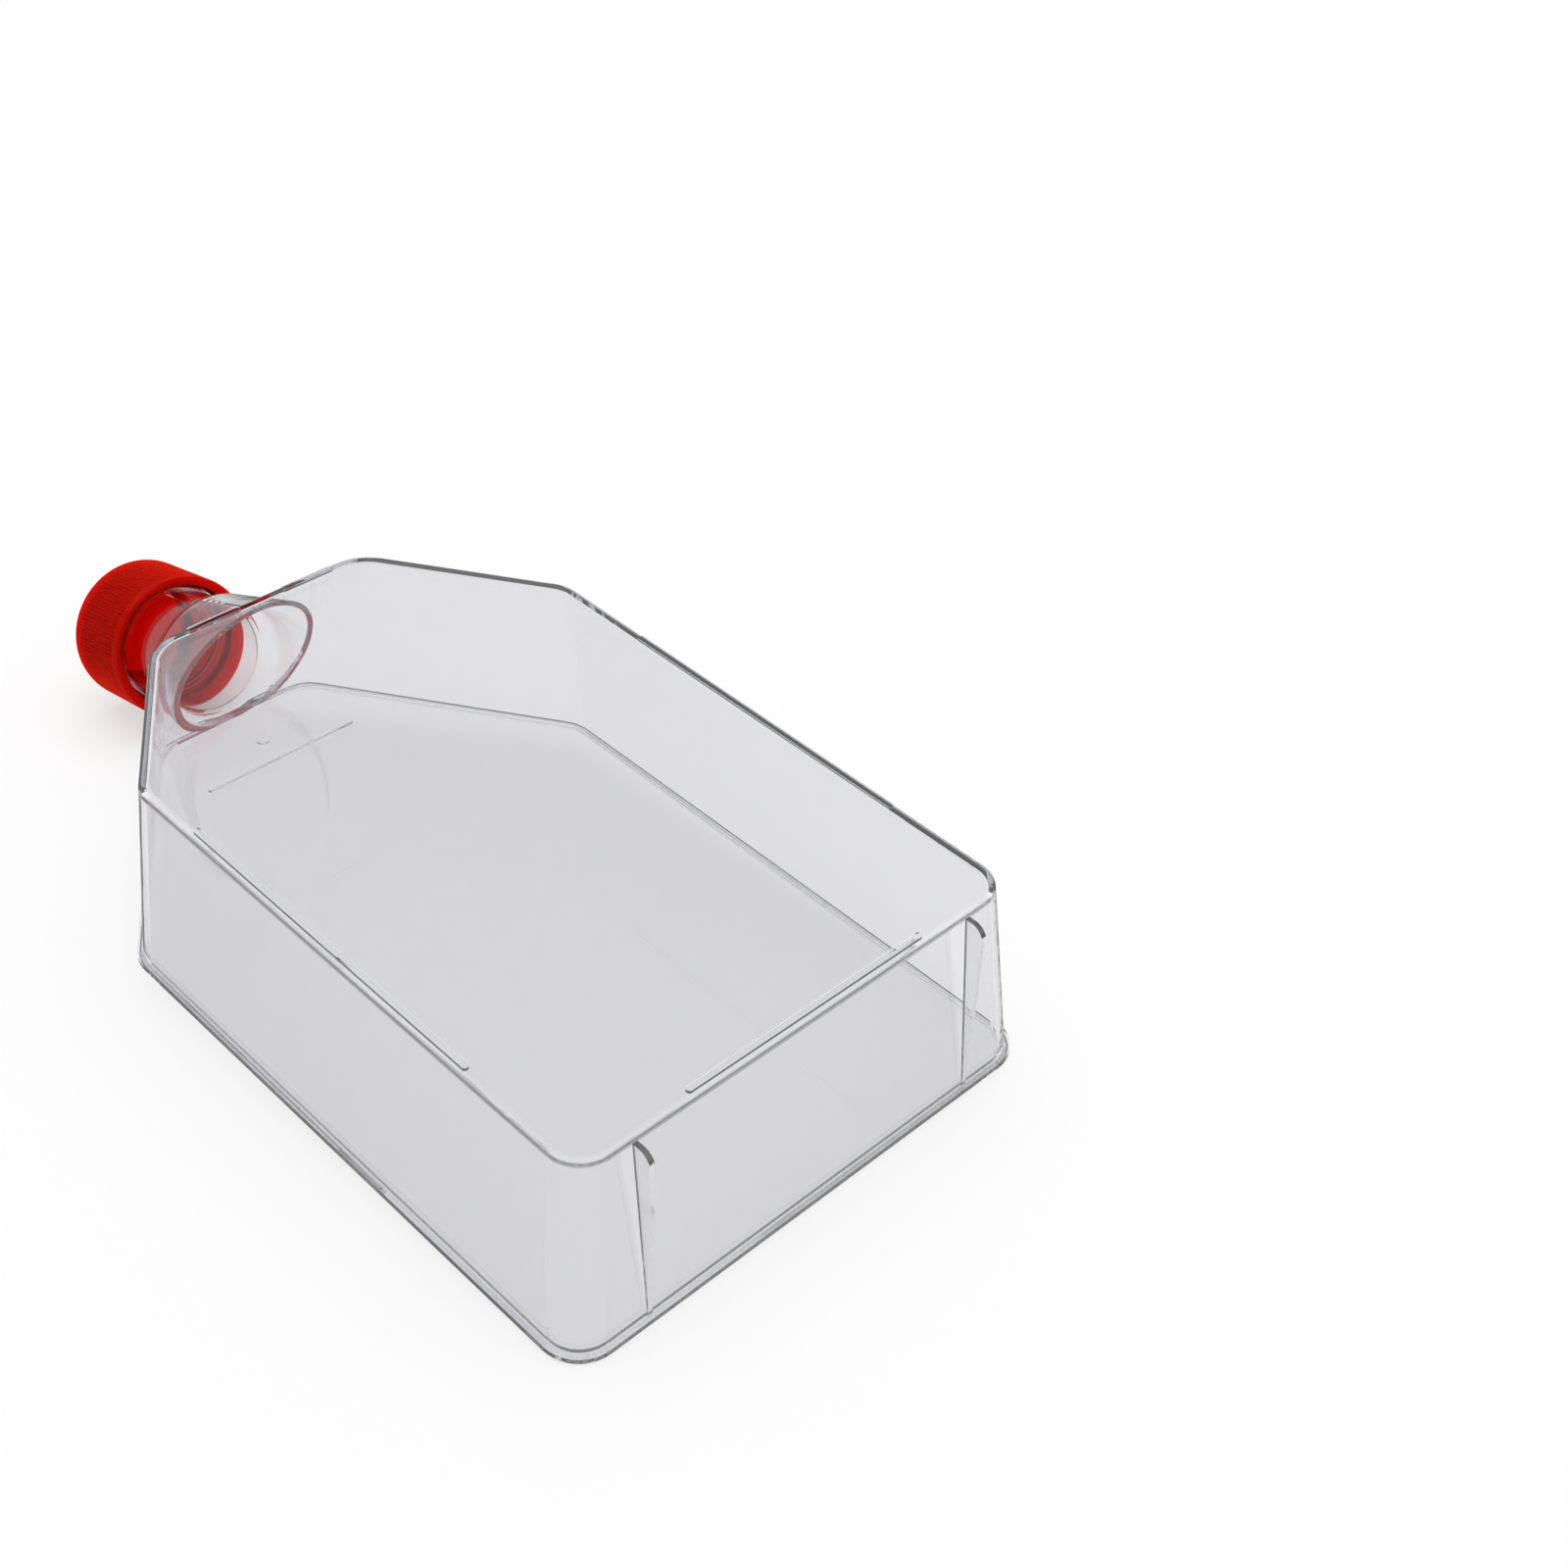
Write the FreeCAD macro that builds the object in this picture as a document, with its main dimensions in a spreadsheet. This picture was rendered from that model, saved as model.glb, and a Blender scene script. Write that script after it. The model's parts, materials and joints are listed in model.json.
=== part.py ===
# Cell culture flask: a clear moulded tray with its neck, a welded lid plate and a screw cap.
# The pieces are drawn in the flask's own frame: X runs from the closed end to the neck, Z is 0 on
# the growth face and falls toward the lid. All are then set down together on lid edge and cap edge.
import FreeCAD, Part
import math
import os
import re

import Sketcher

SIZES = [
    # tray
    ("face_half_width", 55.6),
    ("face_length", 174.5),
    ("bevel_length", 40.3),
    ("bevel_angle", 35.0),
    ("seam_depth", 45.4),
    ("side_draft", 6.0),
    ("front_lean", 22.6),
    ("side_wall", 1.5),
    ("face_wall", 1.5),
    ("end_corner", 8.0),
    ("bevel_corner", 9.0),
    ("nose_corner", 11.0),
    ("face_edge", 1.2),
    ("inner_edge", 1.0),
    # lip that the lid is welded to
    ("lip_overhang", 1.0),
    ("lip_height", 1.0),
    # lid plate
    ("lid_rim", 1.0),
    ("lid_rise", 1.0),
    ("lid_inset", 0.4),
    ("lid_edge", 0.4),
    ("plug_gap", 0.3),
    ("panel_rib_back", 2.7),
    ("panel_rib_reach", 20.0),
    ("panel_rib_width", 1.1),
    ("panel_rib_height", 0.5),
    ("gate_ahead", 5.1),
    ("gate_radius", 1.6),
    ("gate_height", 0.3),
    # neck
    ("neck_ahead", 36.8),
    ("neck_under", 3.541),
    ("neck_tilt", 14.1),
    ("neck_radius", 14.2),
    ("neck_wall", 1.4),
    ("neck_reach", 19.7),
    ("shoulder_back", 12.5),
    ("shoulder_length", 4.0),
    ("shoulder_rise", 3.0),
    ("shoulder_round", 3.0),
    ("root_inset", 2.8),
    ("root_wall", 1.8),
    ("lip_round", 0.6),
    # cap
    ("cap_gap", 0.3),
    ("cap_thread_room", 1.2),
    ("cap_wall", 2.2),
    ("cap_draft", 0.7),
    ("cap_top", 2.2),
    ("cap_edge", 2.8),
    ("cap_plug_depth", 4.5),
    ("cap_plug_wall", 1.3),
    ("cap_band", 1.6),
    ("scallop_count", 120.0),
    ("scallop_radius", 0.4),
    ("scallop_depth", 0.3),
    # foot beads on the growth face
    ("bead_width", 1.5),
    ("bead_height", 0.7),
    ("bead_margin", 1.6),
    ("side_bead_start", 31.0),
    ("near_bead_short", 18.2),
    ("far_bead_short", 26.2),
    ("end_bead_near", 26.6),
    ("end_bead_far", 24.6),
    ("nose_bead_in", 5.5),
    ("nose_bead_short", 8.4),
    # standing fins on the closed end
    ("fin_inset", 13.1),
    ("fin_width", 1.2),
    ("fin_drop", 1.2),
    ("fin_round", 3.0),
]

doc = FreeCAD.newDocument("flask")
sheet = doc.addObject("Spreadsheet::Sheet", "Sizes")
for row, (alias, value) in enumerate(SIZES, start=1):
    sheet.set(f"A{row}", alias)
    sheet.set(f"B{row}", str(value))
    sheet.setAlias(f"B{row}", alias)
doc.recompute()

ALIASES = re.compile(r"\b(" + "|".join(alias for alias, _ in SIZES) + r")\b")


def bound(text):
    return ALIASES.sub(r"Sizes.\1", text)


def value_of(text):
    found = sheet.evalExpression(bound(text))
    return float(getattr(found, "Value", found))


def base_plane(body, role):
    return next(item for item in body.Origin.OriginFeatures if item.Role == role)


def new_body(label):
    body = doc.addObject("PartDesign::Body", label)
    body.Label = label
    return body


def new_sketch(body, label, role="XY_Plane", level="0"):
    sketch = body.newObject("Sketcher::SketchObject", label)
    sketch.AttachmentSupport = [(base_plane(body, role), "")]
    sketch.MapMode = "FlatFace"
    if level != "0":
        sketch.setExpression(".AttachmentOffset.Base.z", bound(level))
    return sketch


# A sketch whose first axis is the neck's own axis, with its origin where the cap's open end sits.
def neck_sketch(body, label):
    sketch = body.newObject("Sketcher::SketchObject", label)
    sketch.AttachmentSupport = [(base_plane(body, "XZ_Plane"), "")]
    sketch.MapMode = "FlatFace"
    turn = FreeCAD.Rotation(FreeCAD.Vector(0, 0, 1), -value_of("neck_tilt"))
    sketch.AttachmentOffset = FreeCAD.Placement(FreeCAD.Vector(0, 0, 0), turn)
    sketch.setExpression(".AttachmentOffset.Base.x", bound(NECK_PLACE))
    sketch.setExpression(".AttachmentOffset.Base.y", bound(f"-{NECK_FALL}"))
    sketch.setExpression(".AttachmentOffset.Rotation.Angle", bound("-neck_tilt"))
    return sketch


# Ties one end of a line to a place given by two expressions measured from the sketch's origin.
def pin(sketch, line, end, across, along):
    for kind, text, axis in (("DistanceX", across, -2), ("DistanceY", along, -1)):
        value = value_of(text)
        if abs(value) < 1e-9:
            sketch.addConstraint(Sketcher.Constraint("PointOnObject", line, end, axis))
            continue
        if value > 0:
            index = sketch.addConstraint(Sketcher.Constraint(kind, -1, 1, line, end, value))
            sketch.setExpression(f"Constraints[{index}]", bound(text))
        else:
            index = sketch.addConstraint(Sketcher.Constraint(kind, line, end, -1, 1, -value))
            sketch.setExpression(f"Constraints[{index}]", bound(f"-({text})"))


# A closed chain of straight lines through the given places.
def chain(sketch, places):
    points = [FreeCAD.Vector(value_of(x), value_of(y), 0) for x, y in places]
    first = len(sketch.Geometry)
    count = len(points)
    for step in range(count):
        sketch.addGeometry(Part.LineSegment(points[step], points[(step + 1) % count]))
    for step in range(count):
        following = first + (step + 1) % count
        sketch.addConstraint(Sketcher.Constraint("Coincident", first + step, 2, following, 1))
    for step, (x, y) in enumerate(places):
        pin(sketch, first + step, 1, x, y)


# The six-sided plan of the flask, grown outward by `grow`, with its nose face at `front`.
def plan(sketch, grow, front):
    side = f"face_half_width + ({grow})"
    turn = f"{BEVEL_START} + ({grow})*tan(bevel_angle/2)"
    nose = f"{NOSE_HALF} - ({front} - face_length)*tan(bevel_angle) + ({grow})/cos(bevel_angle)"
    end = f"-({grow})"
    chain(sketch, [
        (end, f"-({side})"), (turn, f"-({side})"), (front, f"-({nose})"),
        (front, nose), (turn, side), (end, side),
    ])


def loft(body, kind, label, lower, upper):
    feature = body.newObject(kind, label)
    feature.Profile = lower
    feature.Sections = [upper]
    feature.Ruled = True
    doc.recompute()
    return feature


def pad(body, label, sketch, length, reverse=False):
    feature = body.newObject("PartDesign::Pad", label)
    feature.Profile = sketch
    feature.setExpression("Length", bound(length))
    feature.Reversed = reverse
    doc.recompute()
    return feature


def turned(body, kind, label, sketch):
    feature = body.newObject(kind, label)
    feature.Profile = sketch
    feature.ReferenceAxis = (sketch, ["H_Axis"])
    feature.Angle = 360
    doc.recompute()
    return feature


def rounded(body, label, base, names, radius):
    feature = body.newObject("PartDesign::Fillet", label)
    feature.Base = (base, names)
    feature.setExpression("Radius", bound(radius))
    doc.recompute()
    return feature


def edges_where(feature, test):
    return [f"Edge{n}" for n, edge in enumerate(feature.Shape.Edges, start=1) if test(edge)]


def straight(edge):
    if len(edge.Vertexes) != 2:
        return False
    return abs(edge.Length - edge.Vertexes[0].Point.distanceToPoint(edge.Vertexes[1].Point)) < 1e-6


# Straight edges that climb more than `rise`, with their middles between two places along X.
def climbing(low, high, rise):
    def test(edge):
        if not straight(edge):
            return False
        ends = [vertex.Point for vertex in edge.Vertexes]
        middle = (ends[0] + ends[1]) / 2
        return abs(ends[0].z - ends[1].z) > rise and low < middle.x < high
    return test


BEVEL_START = "(face_length - bevel_length)"
NOSE_HALF = "(face_half_width - bevel_length*tan(bevel_angle))"
NECK_PLACE = "(face_length + neck_ahead)"
NECK_FALL = "(seam_depth + neck_under - neck_radius/cos(neck_tilt))"
NECK_BORE = "(neck_radius - neck_wall)"
SHOULDER_FOOT = "(shoulder_back + shoulder_length)"
ROOT_BACK = f"(neck_ahead*cos(neck_tilt) + {NECK_FALL}*sin(neck_tilt))"
ROOT_RADIUS = f"(({NECK_FALL} - {ROOT_BACK}*sin(neck_tilt))/cos(neck_tilt) - root_inset)"
GROWN = "seam_depth*tan(side_draft)"
FRONT = "face_length + seam_depth*tan(front_lean)"
LIP_GROWN = f"{GROWN} + lip_overhang"
LIP_FRONT = f"{FRONT} + lip_overhang"
LID_GROWN = f"{LIP_GROWN} - lid_inset"
LID_FRONT = f"{LIP_FRONT} - lid_inset"
HOLLOW_TOP = "face_wall*tan(side_draft) - side_wall/cos(side_draft)"
HOLLOW_TOP_FRONT = "face_length + face_wall*tan(front_lean) - side_wall/cos(front_lean)"
HOLLOW_BASE = f"{GROWN} - side_wall/cos(side_draft)"
HOLLOW_FRONT = f"{FRONT} - side_wall/cos(front_lean)"
FAR_LEFT = -50.0
MIDWAY = value_of(f"{BEVEL_START}/2")
NOSE_SIDE = value_of("face_length - bevel_length/2")
FAR_RIGHT = value_of(NECK_PLACE)
HALF_RISE = value_of("seam_depth/2")


# Rounds the three sets of upright corners of a six-sided block.
def round_corners(body, label, base, rise, shrink):
    ends = edges_where(base, climbing(FAR_LEFT, MIDWAY, rise))
    step = rounded(body, f"{label}_ends", base, ends, f"end_corner + ({shrink})")
    turns = edges_where(step, climbing(MIDWAY, NOSE_SIDE, rise))
    step = rounded(body, f"{label}_bevels", step, turns, f"bevel_corner + ({shrink})")
    nose = edges_where(step, climbing(NOSE_SIDE, FAR_RIGHT, rise))
    return rounded(body, f"{label}_nose", step, nose, f"nose_corner + ({shrink})")


# ---- flask body: tray, lip, neck, foot beads and fins in one moulding
flask = new_body("flask_body")
face_plan = new_sketch(flask, "face_plan")
plan(face_plan, "0", "face_length")
seam_plan = new_sketch(flask, "seam_plan", level="-seam_depth")
plan(seam_plan, GROWN, FRONT)
block = loft(flask, "PartDesign::AdditiveLoft", "tray_block", face_plan, seam_plan)
block = round_corners(flask, "tray", block, HALF_RISE, "0")

lip_plan = new_sketch(flask, "lip_plan", level="-seam_depth")
plan(lip_plan, LIP_GROWN, LIP_FRONT)
lip = pad(flask, "weld_lip", lip_plan, "lip_height")


def lip_corner(edge):
    if not straight(edge):
        return False
    ends = [vertex.Point for vertex in edge.Vertexes]
    return math.hypot(ends[0].x - ends[1].x, ends[0].y - ends[1].y) < 1e-6


lip = rounded(flask, "lip_corners", lip, edges_where(lip, lip_corner), "end_corner + lip_overhang")


def face_rim(edge):
    points = [vertex.Point for vertex in edge.Vertexes]
    return all(abs(point.z) < 1e-4 for point in points) and abs(edge.CenterOfMass.z) < 1e-4


rounded(flask, "face_rim", lip, edges_where(lip, face_rim), "face_edge")

neck_profile = neck_sketch(flask, "neck_profile")
chain(neck_profile, [
    (f"-{ROOT_BACK}", "0"), ("neck_reach", "0"), ("neck_reach", "neck_radius"),
    ("-shoulder_back", "neck_radius"), (f"-{SHOULDER_FOOT}", "neck_radius + shoulder_rise"),
    (f"-{ROOT_BACK}", ROOT_RADIUS),
])
neck = turned(flask, "PartDesign::Revolution", "neck", neck_profile)

under_plan = new_sketch(flask, "under_plan", "XZ_Plane")
chain(under_plan, [
    ("face_length/2", "-seam_depth"), (LIP_FRONT, "-seam_depth"),
    (LIP_FRONT, "-seam_depth*2"), ("face_length/2", "-seam_depth*2"),
])
under = flask.newObject("PartDesign::Pocket", "under_trim")
under.Profile = under_plan
under.SideType = "Symmetric"
under.setExpression("Length", bound("face_half_width*2"))
doc.recompute()


# The tray's hollow is drawn as the mould's core and then taken out of the moulding.
core = new_body("tray_core")
hollow_top = new_sketch(core, "hollow_top", level="-face_wall")
plan(hollow_top, HOLLOW_TOP, HOLLOW_TOP_FRONT)
hollow_base = new_sketch(core, "hollow_base", level="-seam_depth")
plan(hollow_base, HOLLOW_BASE, HOLLOW_FRONT)
core_block = loft(core, "PartDesign::AdditiveLoft", "core_block", hollow_top, hollow_base)
core_block = round_corners(core, "core", core_block, HALF_RISE, "-side_wall")


def core_rim(edge):
    return abs(edge.BoundBox.ZMin + value_of("face_wall")) < 1e-4


core_block = rounded(core, "core_rim", core_block, edges_where(core_block, core_rim), "inner_edge")
hollow = flask.newObject("PartDesign::Boolean", "hollow")
hollow.Type = "Cut"
hollow.setObjects([core])
doc.recompute()

bore_profile = neck_sketch(flask, "bore_profile")
chain(bore_profile, [
    (f"-{ROOT_BACK}", "0"), ("neck_reach + 1", "0"), ("neck_reach + 1", NECK_BORE),
    ("-shoulder_back - neck_wall/2", NECK_BORE),
    (f"-{SHOULDER_FOOT} - neck_wall/2", "neck_radius + shoulder_rise - root_wall"),
    (f"-{ROOT_BACK}", f"{ROOT_RADIUS} - root_wall"),
])
bore = turned(flask, "PartDesign::Groove", "bore", bore_profile)


# Circular edges about the neck's axis, at one distance along it and of one radius.
def ring(along, radius):
    tilt = math.radians(value_of("neck_tilt"))
    axis = FreeCAD.Vector(math.cos(tilt), 0, -math.sin(tilt))
    start = FreeCAD.Vector(value_of(NECK_PLACE), 0, -value_of(NECK_FALL))

    def test(edge):
        if edge.Degenerated:
            return False
        curve = edge.Curve
        if curve.TypeId != "Part::GeomCircle" or abs(curve.Radius - value_of(radius)) > 1e-4:
            return False
        return abs((curve.Center - start).dot(axis) - value_of(along)) < 1e-3
    return test


lip_rings = edges_where(bore, ring("neck_reach", NECK_BORE))
lip_rings += edges_where(bore, ring("neck_reach", "neck_radius"))
bore = rounded(flask, "lip_round", bore, lip_rings, "lip_round")
shoulder_rings = edges_where(bore, ring("-shoulder_back", "neck_radius"))
shoulder_rings += edges_where(bore, ring(f"-{SHOULDER_FOOT}", "neck_radius + shoulder_rise"))
shoulder_rings += edges_where(bore, ring("-shoulder_back - neck_wall/2", NECK_BORE))
bore = rounded(flask, "shoulder_round", bore, shoulder_rings, "shoulder_round")


# A round-ended bar drawn from one place to another along X or along Y.
def bar(sketch, start, end, middle, width, upright=False):
    half = f"({width})/2"
    low, high = value_of(f"({start}) + {half}"), value_of(f"({end}) - {half}")
    centre, radius = value_of(middle), value_of(half)

    def place(along, across):
        return FreeCAD.Vector(across, along, 0) if upright else FreeCAD.Vector(along, across, 0)

    normal = FreeCAD.Vector(0, 0, 1)
    right, left = math.pi / 2, -math.pi / 2
    if upright:
        caps = [(low, math.pi, 2 * math.pi), (high, 0, math.pi)]
    else:
        caps = [(low, right, right + math.pi), (high, left, right)]
    first = len(sketch.Geometry)
    for along, begin, stop in caps:
        circle = Part.Circle(place(along, centre), normal, radius)
        sketch.addGeometry(Part.ArcOfCircle(circle, begin, stop))
    sketch.addGeometry(Part.LineSegment(place(low, centre - radius), place(high, centre - radius)))
    sketch.addGeometry(Part.LineSegment(place(low, centre + radius), place(high, centre + radius)))
    near_end, far_end = (1, 2) if upright else (2, 1)
    add = sketch.addConstraint
    add(Sketcher.Constraint("Tangent", first, near_end, first + 2, 1))
    add(Sketcher.Constraint("Tangent", first, far_end, first + 3, 1))
    near_end, far_end = (2, 1) if upright else (1, 2)
    add(Sketcher.Constraint("Tangent", first + 1, near_end, first + 2, 2))
    add(Sketcher.Constraint("Tangent", first + 1, far_end, first + 3, 2))
    index = add(Sketcher.Constraint("Radius", first, radius))
    sketch.setExpression(f"Constraints[{index}]", bound(half))
    ends = [(first, f"({start}) + {half}"), (first + 1, f"({end}) - {half}")]
    for line, along in ends:
        if upright:
            pin(sketch, line, 3, middle, along)
        else:
            pin(sketch, line, 3, along, middle)


# The beads stand on the growth face a little way in from its edge.
beads = new_sketch(flask, "bead_plan")
SIDE_IN = "(face_half_width - bead_margin)"
NOSE_IN = "(face_length - bead_margin)"
BEAD_OUT = f"{NOSE_HALF} - nose_bead_short"
bar(beads, "side_bead_start", f"{BEVEL_START} - near_bead_short", SIDE_IN, "bead_width")
bar(beads, "side_bead_start", f"{BEVEL_START} - far_bead_short", f"-{SIDE_IN}", "bead_width")
bar(beads, "end_bead_far - face_half_width", "face_half_width - end_bead_near", "bead_margin",
    "bead_width", upright=True)
bar(beads, "nose_bead_in", BEAD_OUT, NOSE_IN, "bead_width", upright=True)
bar(beads, f"-({BEAD_OUT})", "-nose_bead_in", NOSE_IN, "bead_width", upright=True)
beads_pad = pad(flask, "foot_beads", beads, "bead_height")

# Each fin fills the wedge between the sloping end wall and an upright line over the lip.
FIN_OUT = f"-({GROWN})"
FIN_ROOT = "side_wall/2"
fin_plan = new_sketch(flask, "fin_plan", "XZ_Plane", level="face_half_width - fin_inset - fin_width/2")
chain(fin_plan, [
    (FIN_ROOT, "-fin_drop"), (FIN_OUT, "-fin_drop"),
    (FIN_OUT, "lip_height - seam_depth"), (f"{FIN_OUT} + {FIN_ROOT}", "lip_height - seam_depth"),
])
fin = pad(flask, "fin", fin_plan, "fin_width")
fins = flask.newObject("PartDesign::Mirrored", "fins")
fins.Originals = [fin]
fins.MirrorPlane = (base_plane(flask, "XZ_Plane"), [""])
flask.Tip = fins
doc.recompute()


def fin_tip(edge):
    middle = edge.CenterOfMass
    if abs(middle.z + value_of("fin_drop")) > 1e-3 or not straight(edge):
        return False
    return abs(middle.x - value_of(FIN_OUT)) < 1e-3


fins = rounded(flask, "fin_tips", fins, edges_where(fins, fin_tip), "fin_round")

# ---- lid plate: a raised panel that fills the tray's mouth, on a flat rim welded under the lip
lid = new_body("lid_plate")
PLUG_GROWN = f"{HOLLOW_BASE} - lid_rise*tan(side_draft) - plug_gap"
PLUG_FRONT = f"{HOLLOW_FRONT} - lid_rise*tan(front_lean) - plug_gap"


# Upright corner edges of a thin plate, between two places along X and below a level.
def upright(low, high, top):
    def test(edge):
        if not straight(edge):
            return False
        ends = [vertex.Point for vertex in edge.Vertexes]
        flat = math.hypot(ends[0].x - ends[1].x, ends[0].y - ends[1].y)
        return flat < 1e-6 and low < ends[0].x < high and max(point.z for point in ends) < top
    return test


def plate_corners(body, label, base, grow, top):
    top = value_of(top) + 1e-3
    step = rounded(body, f"{label}_ends", base, edges_where(base, upright(FAR_LEFT, MIDWAY, top)),
                   f"end_corner + ({grow})")
    turns = edges_where(step, upright(MIDWAY, NOSE_SIDE, top))
    step = rounded(body, f"{label}_bevels", step, turns, f"bevel_corner + ({grow})")
    nose = edges_where(step, upright(NOSE_SIDE, FAR_RIGHT, top))
    return rounded(body, f"{label}_nose", step, nose, f"nose_corner + ({grow})")


panel_plan = new_sketch(lid, "panel_plan", level="-seam_depth")
plan(panel_plan, PLUG_GROWN, PLUG_FRONT)
panel = pad(lid, "lid_panel", panel_plan, "lid_rise")
panel = plate_corners(lid, "panel", panel, "-side_wall - plug_gap", "lid_rise - seam_depth")
rim_plan = new_sketch(lid, "rim_plan", level="-seam_depth")
plan(rim_plan, LID_GROWN, LID_FRONT)
lid_rim = pad(lid, "lid_rim", rim_plan, "lid_rim", reverse=True)
lid_rim = plate_corners(lid, "rim", lid_rim, "lip_overhang - lid_inset", "-seam_depth")


def lid_foot(edge):
    return abs(edge.BoundBox.ZMax + value_of("seam_depth + lid_rim")) < 1e-4


lid_rim = rounded(lid, "lid_foot", lid_rim, edges_where(lid_rim, lid_foot), "lid_edge")

rib_plan = new_sketch(lid, "panel_rib_plan", level="lid_rise - seam_depth")
bar(rib_plan, "-panel_rib_reach", "panel_rib_reach", "face_length - panel_rib_back",
    "panel_rib_width", upright=True)
panel_rib = pad(lid, "panel_rib", rib_plan, "panel_rib_height")
gate_plan = new_sketch(lid, "gate_plan", level="lid_rise - seam_depth")
gate_plan.addGeometry(Part.Circle(FreeCAD.Vector(value_of("face_length + gate_ahead"), 0, 0),
                                  FreeCAD.Vector(0, 0, 1), value_of("gate_radius")))
pin(gate_plan, 0, 3, "face_length + gate_ahead", "0")
radius_tie = gate_plan.addConstraint(Sketcher.Constraint("Radius", 0, value_of("gate_radius")))
gate_plan.setExpression(f"Constraints[{radius_tie}]", bound("gate_radius"))
gate = pad(lid, "gate_mark", gate_plan, "gate_height")

# ---- screw cap: ribbed skirt, domed edge and a seal ring that plugs the neck
cap = new_body("screw_cap")
CAP_OUT = "neck_radius + cap_thread_room + cap_wall"
CAP_IN = "neck_radius + cap_thread_room"
CEILING = "neck_reach + cap_gap"
cap_profile = neck_sketch(cap, "cap_profile")
chain(cap_profile, [
    ("0", CAP_IN), ("0", CAP_OUT),
    (f"{CEILING} + cap_top", f"{CAP_OUT} - ({CEILING} + cap_top)*tan(cap_draft)"),
    (f"{CEILING} + cap_top", "0"), (CEILING, "0"), (CEILING, f"{NECK_BORE} - cap_gap - cap_plug_wall"),
    (f"{CEILING} - cap_plug_depth", f"{NECK_BORE} - cap_gap - cap_plug_wall"),
    (f"{CEILING} - cap_plug_depth", f"{NECK_BORE} - cap_gap"), (CEILING, f"{NECK_BORE} - cap_gap"),
    (CEILING, CAP_IN),
])
cap_turned = turned(cap, "PartDesign::Revolution", "cap_turned", cap_profile)
cap_turned = rounded(cap, "cap_edge", cap_turned,
                     edges_where(cap_turned, ring(f"{CEILING} + cap_top",
                                                  f"{CAP_OUT} - ({CEILING} + cap_top)*tan(cap_draft)")),
                     "cap_edge")


# One scallop runs down the skirt along its draft and is repeated round the neck's axis.
scallop_plan = cap.newObject("Sketcher::SketchObject", "scallop_plan")
scallop_plan.AttachmentSupport = [(base_plane(cap, "YZ_Plane"), "")]
scallop_plan.MapMode = "FlatFace"
scallop_plan.AttachmentOffset = FreeCAD.Placement(
    FreeCAD.Vector(0, 0, 0),
    FreeCAD.Rotation(FreeCAD.Vector(1, 0, 0), value_of("neck_tilt + cap_draft")),
)
scallop_plan.setExpression(".AttachmentOffset.Base.y", bound(f"-{NECK_FALL} - cap_band*sin(neck_tilt)"))
scallop_plan.setExpression(".AttachmentOffset.Base.z", bound(f"{NECK_PLACE} + cap_band*cos(neck_tilt)"))
scallop_plan.setExpression(".AttachmentOffset.Rotation.Angle", bound("neck_tilt + cap_draft"))
SKIRT = f"({CAP_OUT} - cap_band*tan(cap_draft))*cos(cap_draft)"
scallop_plan.addGeometry(Part.Circle(
    FreeCAD.Vector(0, value_of(f"{SKIRT} + scallop_radius - scallop_depth"), 0),
    FreeCAD.Vector(0, 0, 1), value_of("scallop_radius")))
pin(scallop_plan, 0, 3, "0", f"{SKIRT} + scallop_radius - scallop_depth")
scallop_tie = scallop_plan.addConstraint(Sketcher.Constraint("Radius", 0, value_of("scallop_radius")))
scallop_plan.setExpression(f"Constraints[{scallop_tie}]", bound("scallop_radius"))
scallop = cap.newObject("PartDesign::Pocket", "scallop")
scallop.Profile = scallop_plan
scallop.Reversed = True
scallop.setExpression("Length", bound(f"{CEILING} + cap_top"))
doc.recompute()
ribs = cap.newObject("PartDesign::PolarPattern", "grip_ribs")
ribs.Originals = [scallop]
ribs.Axis = (cap_profile, ["H_Axis"])
ribs.Angle = 360
ribs.setExpression("Occurrences", bound("scallop_count"))
cap.Tip = ribs
doc.recompute()

# ---- rest: the flask stands on the lid's end edge and on the cap's rounded edge
NODES = {"flask_body": flask, "lid_plate": lid, "screw_cap": cap}


# How far the whole flask turns about Y so that both edges touch one level, and how far it is lifted.
def settle():
    tilt = math.radians(value_of("neck_tilt"))
    edge = value_of("lid_edge")
    heel_x = value_of(f"lid_edge - ({LID_GROWN})")
    heel_z = value_of("lid_edge - seam_depth - lid_rim")
    toe_edge = value_of("cap_edge")
    draft = math.radians(value_of("cap_draft"))
    along = value_of(f"{CEILING} + cap_top - cap_edge")
    out = value_of(f"{CAP_OUT} - ({CEILING} + cap_top)*tan(cap_draft)")
    out += toe_edge * math.tan(draft) - toe_edge / math.cos(draft)
    toe_x = value_of(NECK_PLACE) + along * math.cos(tilt) - out * math.sin(tilt)
    toe_z = -value_of(NECK_FALL) - along * math.sin(tilt) - out * math.cos(tilt)
    reach = math.hypot(toe_x - heel_x, toe_z - heel_z)
    turn = math.asin((toe_edge - edge) / reach) - math.atan2(toe_z - heel_z, toe_x - heel_x)
    lift = edge - heel_z * math.cos(turn) - heel_x * math.sin(turn)
    return math.degrees(turn), lift


turn, lift = settle()
rotation = FreeCAD.Rotation(FreeCAD.Vector(0, 1, 0), -turn)
for body in NODES.values():
    body.Placement = FreeCAD.Placement(FreeCAD.Vector(0, 0, lift), rotation)
doc.recompute()
whole = Part.makeCompound([body.Shape for body in NODES.values()]).optimalBoundingBox(False)
middle = (whole.XMin + whole.XMax) / 2
for body in NODES.values():
    body.Placement = FreeCAD.Placement(FreeCAD.Vector(-middle, 0, lift), rotation)
doc.recompute()

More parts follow.
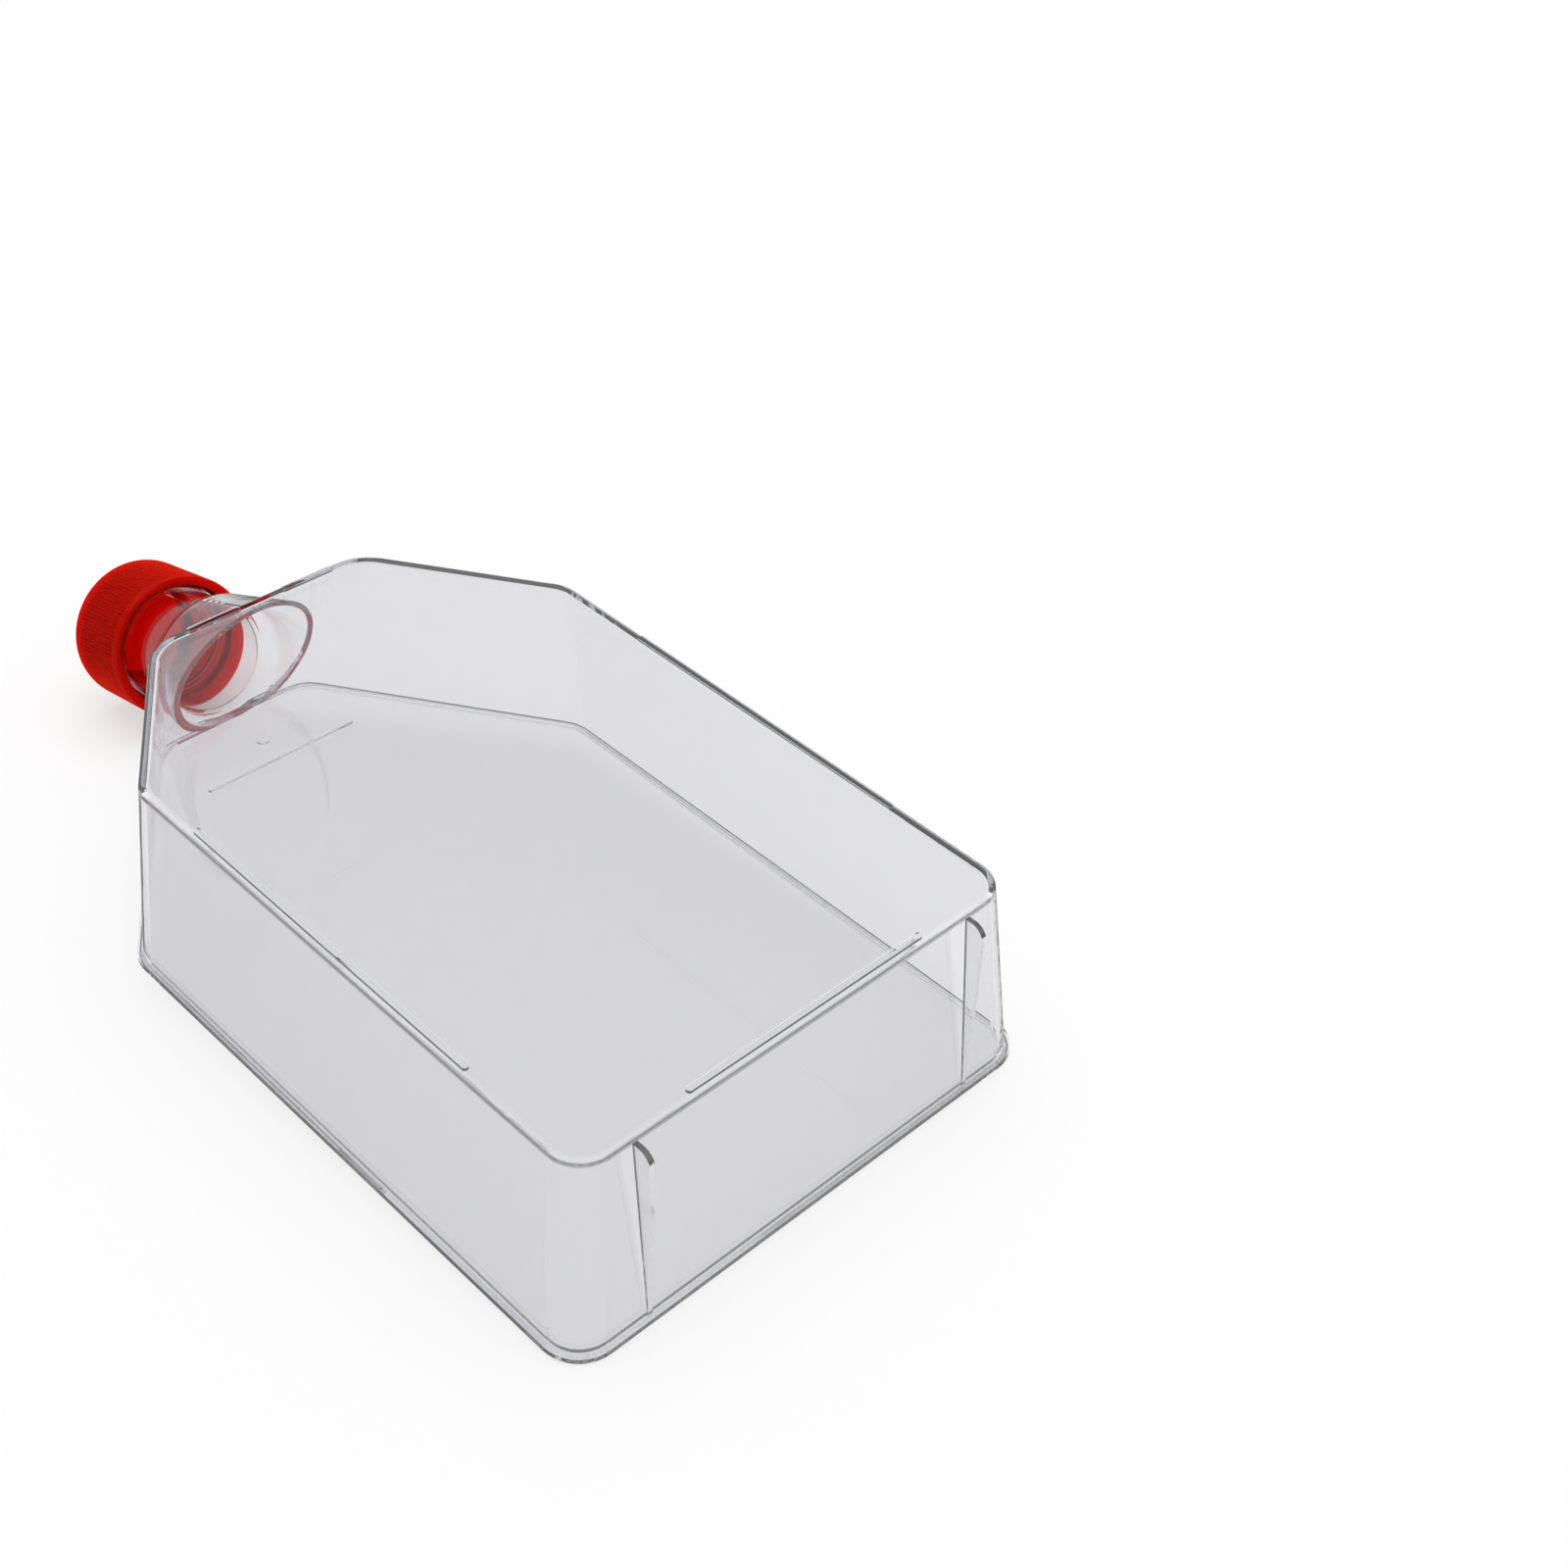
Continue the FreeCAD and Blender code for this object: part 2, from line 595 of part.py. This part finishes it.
for item in doc.Objects:
    if "Invalid" in item.State or "Error" in item.State:
        raise RuntimeError(f"{item.Name} did not build")
for label, body in NODES.items():
    if body.Shape.isNull() or not body.Shape.isValid() or len(body.Shape.Solids) != 1:
        raise RuntimeError(f"{label} is not one sound solid")

os.makedirs("parts", exist_ok=True)
for label, body in NODES.items():
    body.Shape.exportStep(f"parts/{label}.step")
print(f"turn {turn:.4f} degrees, lift {lift:.4f}, middle {middle:.4f}")
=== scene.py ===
import json
import math

import bmesh
import bpy
from mathutils import Matrix, Vector


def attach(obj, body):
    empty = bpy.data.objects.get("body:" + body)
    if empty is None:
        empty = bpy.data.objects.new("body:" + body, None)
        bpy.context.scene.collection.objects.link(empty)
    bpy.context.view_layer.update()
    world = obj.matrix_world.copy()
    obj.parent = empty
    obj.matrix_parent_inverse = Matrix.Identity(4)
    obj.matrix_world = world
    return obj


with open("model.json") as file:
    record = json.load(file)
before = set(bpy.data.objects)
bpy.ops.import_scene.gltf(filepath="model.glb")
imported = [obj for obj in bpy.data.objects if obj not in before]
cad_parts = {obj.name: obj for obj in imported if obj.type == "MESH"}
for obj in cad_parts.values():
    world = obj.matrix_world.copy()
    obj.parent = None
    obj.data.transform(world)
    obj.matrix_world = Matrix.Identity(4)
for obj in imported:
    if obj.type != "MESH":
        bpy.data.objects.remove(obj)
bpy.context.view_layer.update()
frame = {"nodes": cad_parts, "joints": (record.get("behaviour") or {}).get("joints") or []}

scene = bpy.context.scene
print("frame loaded")


# Small helpers that build node materials.
def newMaterial(name):
    material = bpy.data.materials.new(name)
    material.use_nodes = True
    material.node_tree.nodes.clear()
    return material


def addNode(material, kind, place, **values):
    node = material.node_tree.nodes.new(kind)
    node.location = place
    for key, value in values.items():
        setattr(node, key, value)
    return node


def link(material, fromSocket, toSocket):
    material.node_tree.links.new(fromSocket, toSocket)


def noiseNode(material, coords, scale, detail, place):
    noise = addNode(material, "ShaderNodeTexNoise", place)
    noise.inputs["Scale"].default_value = scale
    noise.inputs["Detail"].default_value = detail
    link(material, coords, noise.inputs["Vector"])
    return noise


def rangeNode(material, source, low, high, toLow, toHigh, place):
    node = addNode(material, "ShaderNodeMapRange", place)
    node.inputs["From Min"].default_value = low
    node.inputs["From Max"].default_value = high
    node.inputs["To Min"].default_value = toLow
    node.inputs["To Max"].default_value = toHigh
    link(material, source, node.inputs["Value"])
    return node


def mixNode(material, amount, tint, place):
    node = addNode(material, "ShaderNodeMix", place, data_type="RGBA")
    tints = [socket for socket in node.inputs if socket.type == "RGBA"]
    tints[0].default_value = tint
    link(material, amount, node.inputs[0])
    mixed = [socket for socket in node.outputs if socket.type == "RGBA"][0]
    return tints[1], mixed


def mathNode(material, operation, first, second, place):
    node = addNode(material, "ShaderNodeMath", place, operation=operation, use_clamp=True)
    link(material, first, node.inputs[0])
    if isinstance(second, float):
        node.inputs[1].default_value = second
    else:
        link(material, second, node.inputs[1])
    return node.outputs["Value"]


def fillRamp(ramp, bands):
    stops = ramp.color_ramp.elements
    stops[0].position, stops[1].position = bands[0][0], bands[-1][0]
    for position, _ in bands[1:-1]:
        stops.new(position)
    for stop, (_, tint) in zip(stops, bands):
        stop.color = (*tint, 1.0)


clearLook = {
    "colour": (0.925, 0.922, 0.945, 1.0),
    "ior": 1.58,
    "depthTint": (0.60, 0.61, 0.645, 1.0),  # cool cast that thick edges show
    "depthDensity": 16.0,  # per metre
    "roughLow": 0.012,  # clean moulded skin
    "roughHigh": 0.05,  # where hands and trays have dulled it
    "hazeScale": 18.0,
    "hazeDetail": 4.0,
    "hazeFrom": 0.45,
    "hazeTo": 0.75,
    "waveScale": 26.0,  # slow waviness left by the mould
    "waveDetail": 1.0,
    "waveHeight": 0.00004,
    "lampTint": (0.93, 0.93, 0.935, 1.0),  # what each skin lets through to the floor
    # painted shade and painted highlight: a grey line and a light one painted into the colour of
    # rounded edges, by how far the surface faces up, and the tone there
    "paintedEdgeLines": (
        (0.20, (0.925, 0.925, 0.9435)),
        # painted shade: the grey line
        (0.28, (0.36, 0.36, 0.3672)),
        (0.48, (0.36, 0.36, 0.3672)),
        # painted highlight: the light line
        (0.62, (1.0, 1.0, 1.0)),
        (0.88, (1.0, 1.0, 1.0)),
        (0.97, (0.925, 0.925, 0.9435)),
    ),
    "paintedLinesEnd": 0.0598,  # the painted edge lines stop here, where the neck starts
    "longestPath": 8.0,  # bounces
}


# The plastic's own colour, with a painted shade line and a painted highlight line on the rounded
# edges of the tray and the lid.
def paintEdgeShadeAndHighlight(material, coords):
    facing = addNode(material, "ShaderNodeSeparateXYZ", (-700, 700))
    link(material, coords.outputs["Normal"], facing.inputs[0])
    # ramp that paints the shade line and the highlight line by how far the surface faces up
    edge = addNode(material, "ShaderNodeValToRGB", (-500, 700))
    link(material, facing.outputs["Z"], edge.inputs["Fac"])
    fillRamp(edge, clearLook["paintedEdgeLines"])
    along = addNode(material, "ShaderNodeSeparateXYZ", (-700, 500))
    link(material, coords.outputs["Object"], along.inputs[0])
    before = mathNode(material, "LESS_THAN", along.outputs["X"], clearLook["paintedLinesEnd"], (-500, 450))
    other, mixed = mixNode(material, before, clearLook["colour"], (-300, 400))
    link(material, edge.outputs["Color"], other)
    return mixed


def makeClearPlastic():
    material = newMaterial("clearPolystyrene")
    coords = addNode(material, "ShaderNodeTexCoord", (-900, 0))
    place = coords.outputs["Object"]
    haze = noiseNode(material, place, clearLook["hazeScale"], clearLook["hazeDetail"], (-700, 120))
    rough = rangeNode(material, haze.outputs["Fac"], clearLook["hazeFrom"], clearLook["hazeTo"],
                      clearLook["roughLow"], clearLook["roughHigh"], (-500, 120))
    wave = noiseNode(material, place, clearLook["waveScale"], clearLook["waveDetail"], (-700, -160))
    bump = addNode(material, "ShaderNodeBump", (-300, -160))
    bump.inputs["Strength"].default_value = 1.0
    bump.inputs["Distance"].default_value = clearLook["waveHeight"]
    link(material, wave.outputs["Fac"], bump.inputs["Height"])
    skin = addNode(material, "ShaderNodeBsdfPrincipled", (-100, 60))
    # the base colour carries the painted shade and highlight lines
    link(material, paintEdgeShadeAndHighlight(material, coords), skin.inputs["Base Color"])
    skin.inputs["IOR"].default_value = clearLook["ior"]
    skin.inputs["Transmission Weight"].default_value = 1.0
    link(material, rough.outputs["Result"], skin.inputs["Roughness"])
    link(material, bump.outputs["Normal"], skin.inputs["Normal"])
    lampSide = addNode(material, "ShaderNodeBsdfTransparent", (-100, -220))
    lampSide.inputs["Color"].default_value = clearLook["lampTint"]
    path = addNode(material, "ShaderNodeLightPath", (-100, 420))
    # light that has bounced about inside an edge for long comes out straight
    spent = mathNode(material, "GREATER_THAN", path.outputs["Ray Depth"],
                     clearLook["longestPath"], (-100, 700))
    passes = mathNode(material, "ADD", path.outputs["Is Shadow Ray"], spent, (50, 560))
    mix = addNode(material, "ShaderNodeMixShader", (200, 60))
    link(material, passes, mix.inputs[0])
    link(material, skin.outputs["BSDF"], mix.inputs[1])
    link(material, lampSide.outputs["BSDF"], mix.inputs[2])
    out = addNode(material, "ShaderNodeOutputMaterial", (400, 60))
    link(material, mix.outputs["Shader"], out.inputs["Surface"])
    depth = addNode(material, "ShaderNodeVolumeAbsorption", (200, -220))
    depth.inputs["Color"].default_value = clearLook["depthTint"]
    depth.inputs["Density"].default_value = clearLook["depthDensity"]
    link(material, depth.outputs["Volume"], out.inputs["Volume"])
    return material


capLook = {
    "colour": (0.54, 0.004, 0.001, 1.0),
    "worn": (0.59, 0.008, 0.003, 1.0),  # slightly chalky in patches
    "cloudScale": 60.0,
    "cloudDetail": 3.0,
    "cloudFrom": 0.4,
    "cloudTo": 0.8,
    "wornMost": 0.7,
    "roughLow": 0.42,
    "roughHigh": 0.58,
    "grainScale": 900.0,
    "grainDetail": 2.0,
    "grainFrom": 0.3,
    "grainTo": 0.7,
    "grainHeight": 0.00002,
    "grainStrength": 0.6,
    "ior": 1.5,
    "shine": 0.03,
    "glow": 0.95,  # how much light soaks through the wall
    "glowRadius": (1.0, 0.10, 0.06),
    "glowScale": 0.025,
}


def makeCapPlastic():
    material = newMaterial("redPolyethylene")
    place = addNode(material, "ShaderNodeTexCoord", (-900, 0)).outputs["Object"]
    cloud = noiseNode(material, place, capLook["cloudScale"], capLook["cloudDetail"], (-700, 200))
    amount = rangeNode(material, cloud.outputs["Fac"], capLook["cloudFrom"], capLook["cloudTo"],
                       0.0, capLook["wornMost"], (-500, 200))
    other, mixed = mixNode(material, amount.outputs["Result"], capLook["colour"], (-300, 200))
    other.default_value = capLook["worn"]
    grain = noiseNode(material, place, capLook["grainScale"], capLook["grainDetail"], (-700, -160))
    rough = rangeNode(material, grain.outputs["Fac"], capLook["grainFrom"], capLook["grainTo"],
                      capLook["roughLow"], capLook["roughHigh"], (-500, -20))
    bump = addNode(material, "ShaderNodeBump", (-300, -200))
    bump.inputs["Strength"].default_value = capLook["grainStrength"]
    bump.inputs["Distance"].default_value = capLook["grainHeight"]
    link(material, grain.outputs["Fac"], bump.inputs["Height"])
    skin = addNode(material, "ShaderNodeBsdfPrincipled", (0, 0))
    link(material, mixed, skin.inputs["Base Color"])
    link(material, rough.outputs["Result"], skin.inputs["Roughness"])
    link(material, bump.outputs["Normal"], skin.inputs["Normal"])
    skin.inputs["IOR"].default_value = capLook["ior"]
    skin.inputs["Specular IOR Level"].default_value = capLook["shine"]
    skin.inputs["Subsurface Weight"].default_value = capLook["glow"]
    skin.inputs["Subsurface Radius"].default_value = capLook["glowRadius"]
    skin.inputs["Subsurface Scale"].default_value = capLook["glowScale"]
    out = addNode(material, "ShaderNodeOutputMaterial", (300, 0))
    link(material, skin.outputs["BSDF"], out.inputs["Surface"])
    return material


clearPlastic = makeClearPlastic()
capPlastic = makeCapPlastic()
for name in ("flask_body", "lid_plate"):
    frame["nodes"][name].material_slots[0].material = clearPlastic
frame["nodes"]["screw_cap"].material_slots[0].material = capPlastic
print("materials made")


# The neck's own axes, read from the cap's slide and its open end.
rimDepth = 0.0002  # points this near the cap's open end belong to its rim
slideAxis = Vector(frame["joints"][0]["axis"]).normalized()
capPoints = [v.co for v in frame["nodes"]["screw_cap"].data.vertices]
openEnd = min(p.dot(slideAxis) for p in capPoints)
rim = [p for p in capPoints if p.dot(slideAxis) - openEnd < rimDepth]
rimCentre = sum(rim, Vector()) / len(rim)
rimCentre.y = 0.0
neckTurn = slideAxis.to_track_quat("Z", "Y").to_matrix().to_4x4()
neckFrame = Matrix.Translation(rimCentre) @ neckTurn


threadShape = {
    "pitch": 0.0042,
    "turns": 2.6,
    "steps": 64,  # per turn
    "neckCore": 0.0142,
    "neckCrest": 0.01505,
    "neckStart": 0.0029,  # from the cap's open end
    "capCore": 0.0154,
    "capCrest": 0.01455,
    "capStart": 0.0008,
    "rootHalf": 0.0010,
    "crestHalf": 0.00035,
    "sunk": 0.0002,  # how far the root runs into the wall
    "fade": 0.12,  # turns over which each end dies away
    "least": 0.08,
}


def makeThread(name, core, crest, start, material, body):
    side = 1.0 if crest > core else -1.0
    root = core - side * threadShape["sunk"]
    half, flatHalf = threadShape["rootHalf"], threadShape["crestHalf"]
    fade, least = threadShape["fade"], threadShape["least"]
    steps = int(threadShape["steps"] * threadShape["turns"])
    bm = bmesh.new()
    rings = []
    for step in range(steps + 1):
        turn = step / threadShape["steps"]
        left = threadShape["turns"] - turn
        grow = max(least, min(1.0, turn / fade, left / fade))
        tip = root + (crest - root) * grow
        flat = flatHalf * grow
        outline = [(root, -half), (tip, -flat), (tip, flat), (root, half)]
        angle = 2 * math.pi * turn
        rise = start + threadShape["pitch"] * turn
        out, across = math.cos(angle), math.sin(angle)
        rings.append([bm.verts.new((r * out, r * across, rise + z)) for r, z in outline])
    for near, far in zip(rings, rings[1:]):
        for k in range(4):
            n = (k + 1) % 4
            bm.faces.new((near[k], near[n], far[n], far[k]))
    bm.faces.new(rings[0])
    bm.faces.new(rings[-1])
    bmesh.ops.recalc_face_normals(bm, faces=bm.faces[:])
    bmesh.ops.transform(bm, matrix=neckFrame, verts=bm.verts[:])
    mesh = bpy.data.meshes.new(name)
    bm.to_mesh(mesh)
    bm.free()
    mesh.materials.append(material)
    thread = bpy.data.objects.new(name, mesh)
    scene.collection.objects.link(thread)
    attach(thread, body)
    return thread


neckThread = makeThread("neck_thread", threadShape["neckCore"], threadShape["neckCrest"],
                        threadShape["neckStart"], clearPlastic, "flask")
capThread = makeThread("cap_thread", threadShape["capCore"], threadShape["capCrest"],
                       threadShape["capStart"], capPlastic, "cap")
print("threads wound")


# The bench, the room round it and its lamp.
stageLook = {
    "floorHalf": 4.0,
    "floorCells": 4,
    "floorColour": (0.97, 0.97, 0.97, 1.0),
    "nearWhite": 0.60,  # share of plain white close to the flask
    "fadeStart": 0.20,
    "fadeEnd": 0.60,
    "worldLight": 0.50,
    # tone of the room by the height of the ray, straight through and in mirrored rays
    "seenBands": ((0.30, 1.0), (0.45, 0.72), (0.80, 0.72), (1.0, 0.90)),
    "mirroredBands": ((0.00, 0.20), (0.45, 0.12), (0.75, 0.15), (1.0, 0.35)),
    "mirroredFloor": 0.22,
}


def makeFloorMaterial():
    material = newMaterial("paleFloor")
    place = addNode(material, "ShaderNodeTexCoord", (-900, 0)).outputs["Object"]
    length = addNode(material, "ShaderNodeVectorMath", (-700, 0), operation="LENGTH")
    link(material, place, length.inputs[0])
    fade = rangeNode(material, length.outputs["Value"], stageLook["fadeStart"],
                     stageLook["fadeEnd"], stageLook["nearWhite"], 1.0, (-500, 0))
    path = addNode(material, "ShaderNodeLightPath", (-900, 400))
    throughRay, mirrorRay = path.outputs["Is Transmission Ray"], path.outputs["Is Glossy Ray"]
    seen = mathNode(material, "ADD", path.outputs["Is Camera Ray"], throughRay, (-700, 400))
    faded = mathNode(material, "MULTIPLY", seen, fade.outputs["Result"], (-500, 300))
    # a ray that went through the plastic counts as glossy too
    mirrored = mathNode(material, "SUBTRACT", mirrorRay, throughRay, (-700, 560))
    amount = mathNode(material, "ADD", faded, mirrored, (-300, 200))
    tone = rangeNode(material, mirrored, 0.0, 1.0, 1.0, stageLook["mirroredFloor"], (-500, -260))
    matte = addNode(material, "ShaderNodeBsdfDiffuse", (-300, -100))
    matte.inputs["Color"].default_value = stageLook["floorColour"]
    white = addNode(material, "ShaderNodeEmission", (-300, -260))
    white.inputs["Strength"].default_value = 1.0
    link(material, tone.outputs["Result"], white.inputs["Color"])
    mix = addNode(material, "ShaderNodeMixShader", (0, 0))
    link(material, amount, mix.inputs[0])
    link(material, matte.outputs["BSDF"], mix.inputs[1])
    link(material, white.outputs["Emission"], mix.inputs[2])
    out = addNode(material, "ShaderNodeOutputMaterial", (200, 0))
    link(material, mix.outputs["Shader"], out.inputs["Surface"])
    return material


def makeFloor():
    bm = bmesh.new()
    cells = stageLook["floorCells"]
    bmesh.ops.create_grid(bm, x_segments=cells, y_segments=cells, size=stageLook["floorHalf"])
    mesh = bpy.data.meshes.new("floor")
    bm.to_mesh(mesh)
    bm.free()
    mesh.materials.append(makeFloorMaterial())
    floor = bpy.data.objects.new("floor", mesh)
    scene.collection.objects.link(floor)
    return floor


def skyRamp(nodes, links, height, bands):
    ramp = nodes.new("ShaderNodeValToRGB")
    links.new(height, ramp.inputs["Fac"])
    fillRamp(ramp, [(position, (tone, tone, tone)) for position, tone in bands])
    background = nodes.new("ShaderNodeBackground")
    links.new(ramp.outputs["Color"], background.inputs["Color"])
    return background


def makeWorld():
    world = bpy.data.worlds.new("studio")
    scene.world = world
    world.use_nodes = True
    nodes, links = world.node_tree.nodes, world.node_tree.links
    nodes.clear()
    coords = nodes.new("ShaderNodeTexCoord")
    split = nodes.new("ShaderNodeSeparateXYZ")
    links.new(coords.outputs["Generated"], split.inputs[0])
    seen = skyRamp(nodes, links, split.outputs["Z"], stageLook["seenBands"])
    mirrored = skyRamp(nodes, links, split.outputs["Z"], stageLook["mirroredBands"])
    lit = nodes.new("ShaderNodeBackground")
    lit.inputs["Strength"].default_value = stageLook["worldLight"]
    lit.inputs["Color"].default_value = (1.0, 1.0, 1.0, 1.0)
    path = nodes.new("ShaderNodeLightPath")
    last = lit
    shades = {"Is Glossy Ray": mirrored, "Is Camera Ray": seen, "Is Transmission Ray": seen}
    for flag, shade in shades.items():
        mix = nodes.new("ShaderNodeMixShader")
        links.new(path.outputs[flag], mix.inputs[0])
        links.new(last.outputs[0], mix.inputs[1])
        links.new(shade.outputs[0], mix.inputs[2])
        last = mix
    out = nodes.new("ShaderNodeOutputWorld")
    links.new(last.outputs[0], out.inputs["Surface"])


lamps = {
    "overheadBox": {
        "place": (0.0, -0.10, 1.30),
        "aim": (0.0, 0.0, 0.0),
        "size": (1.3, 1.3),
        "power": 12.0,
    },
}


def makeLamps():
    for name, lamp in lamps.items():
        light = bpy.data.lights.new(name, "AREA")
        light.shape = "RECTANGLE"
        light.size, light.size_y = lamp["size"]
        light.energy = lamp["power"]
        box = bpy.data.objects.new(name, light)
        box.location = lamp["place"]
        towards = Vector(lamp["aim"]) - Vector(lamp["place"])
        box.rotation_euler = towards.to_track_quat("-Z", "Y").to_euler()
        box.visible_glossy = False
        box.visible_transmission = False
        scene.collection.objects.link(box)


makeFloor()
makeWorld()
makeLamps()
print("stage lit")

cameraView = {
    "place": (-0.3224, 0.2163, 0.3318),
    "turn": -46.62,  # degrees, the way it looks over the bench
    "drop": 39.44,  # degrees below level, before the flask's own lean
    "lean": 2.363,
    "roll": 3.59,
    "lens": 52.06,
}


def makeCamera():
    turn, drop = math.radians(cameraView["turn"]), math.radians(cameraView["drop"])
    lean = math.radians(cameraView["lean"])
    level = math.cos(drop)
    ahead = Vector((math.cos(turn) * level, math.sin(turn) * level, -math.sin(drop)))
    right = ahead.cross(Vector((0, 0, 1))).normalized()
    up = right.cross(ahead)
    roll = math.radians(cameraView["roll"])
    right, up = (right * math.cos(roll) + up * math.sin(roll),
                 up * math.cos(roll) - right * math.sin(roll))
    raised = Matrix.Rotation(-lean, 3, "Y")
    right, up, ahead = raised @ right, raised @ up, raised @ ahead
    camera = bpy.data.objects.new("camera", bpy.data.cameras.new("camera"))
    camera.data.lens = cameraView["lens"]
    turned = Matrix((right, up, -ahead)).transposed()
    camera.matrix_world = Matrix.Translation(cameraView["place"]) @ turned.to_4x4()
    scene.collection.objects.link(camera)
    scene.camera = camera


lightBounces = {
    "max_bounces": 12,
    "transmission_bounces": 12,
    "glossy_bounces": 12,
    "transparent_max_bounces": 24,
}

makeCamera()
scene.view_settings.view_transform = "Standard"
for limit, bounces in lightBounces.items():
    setattr(scene.cycles, limit, bounces)
print("camera set")
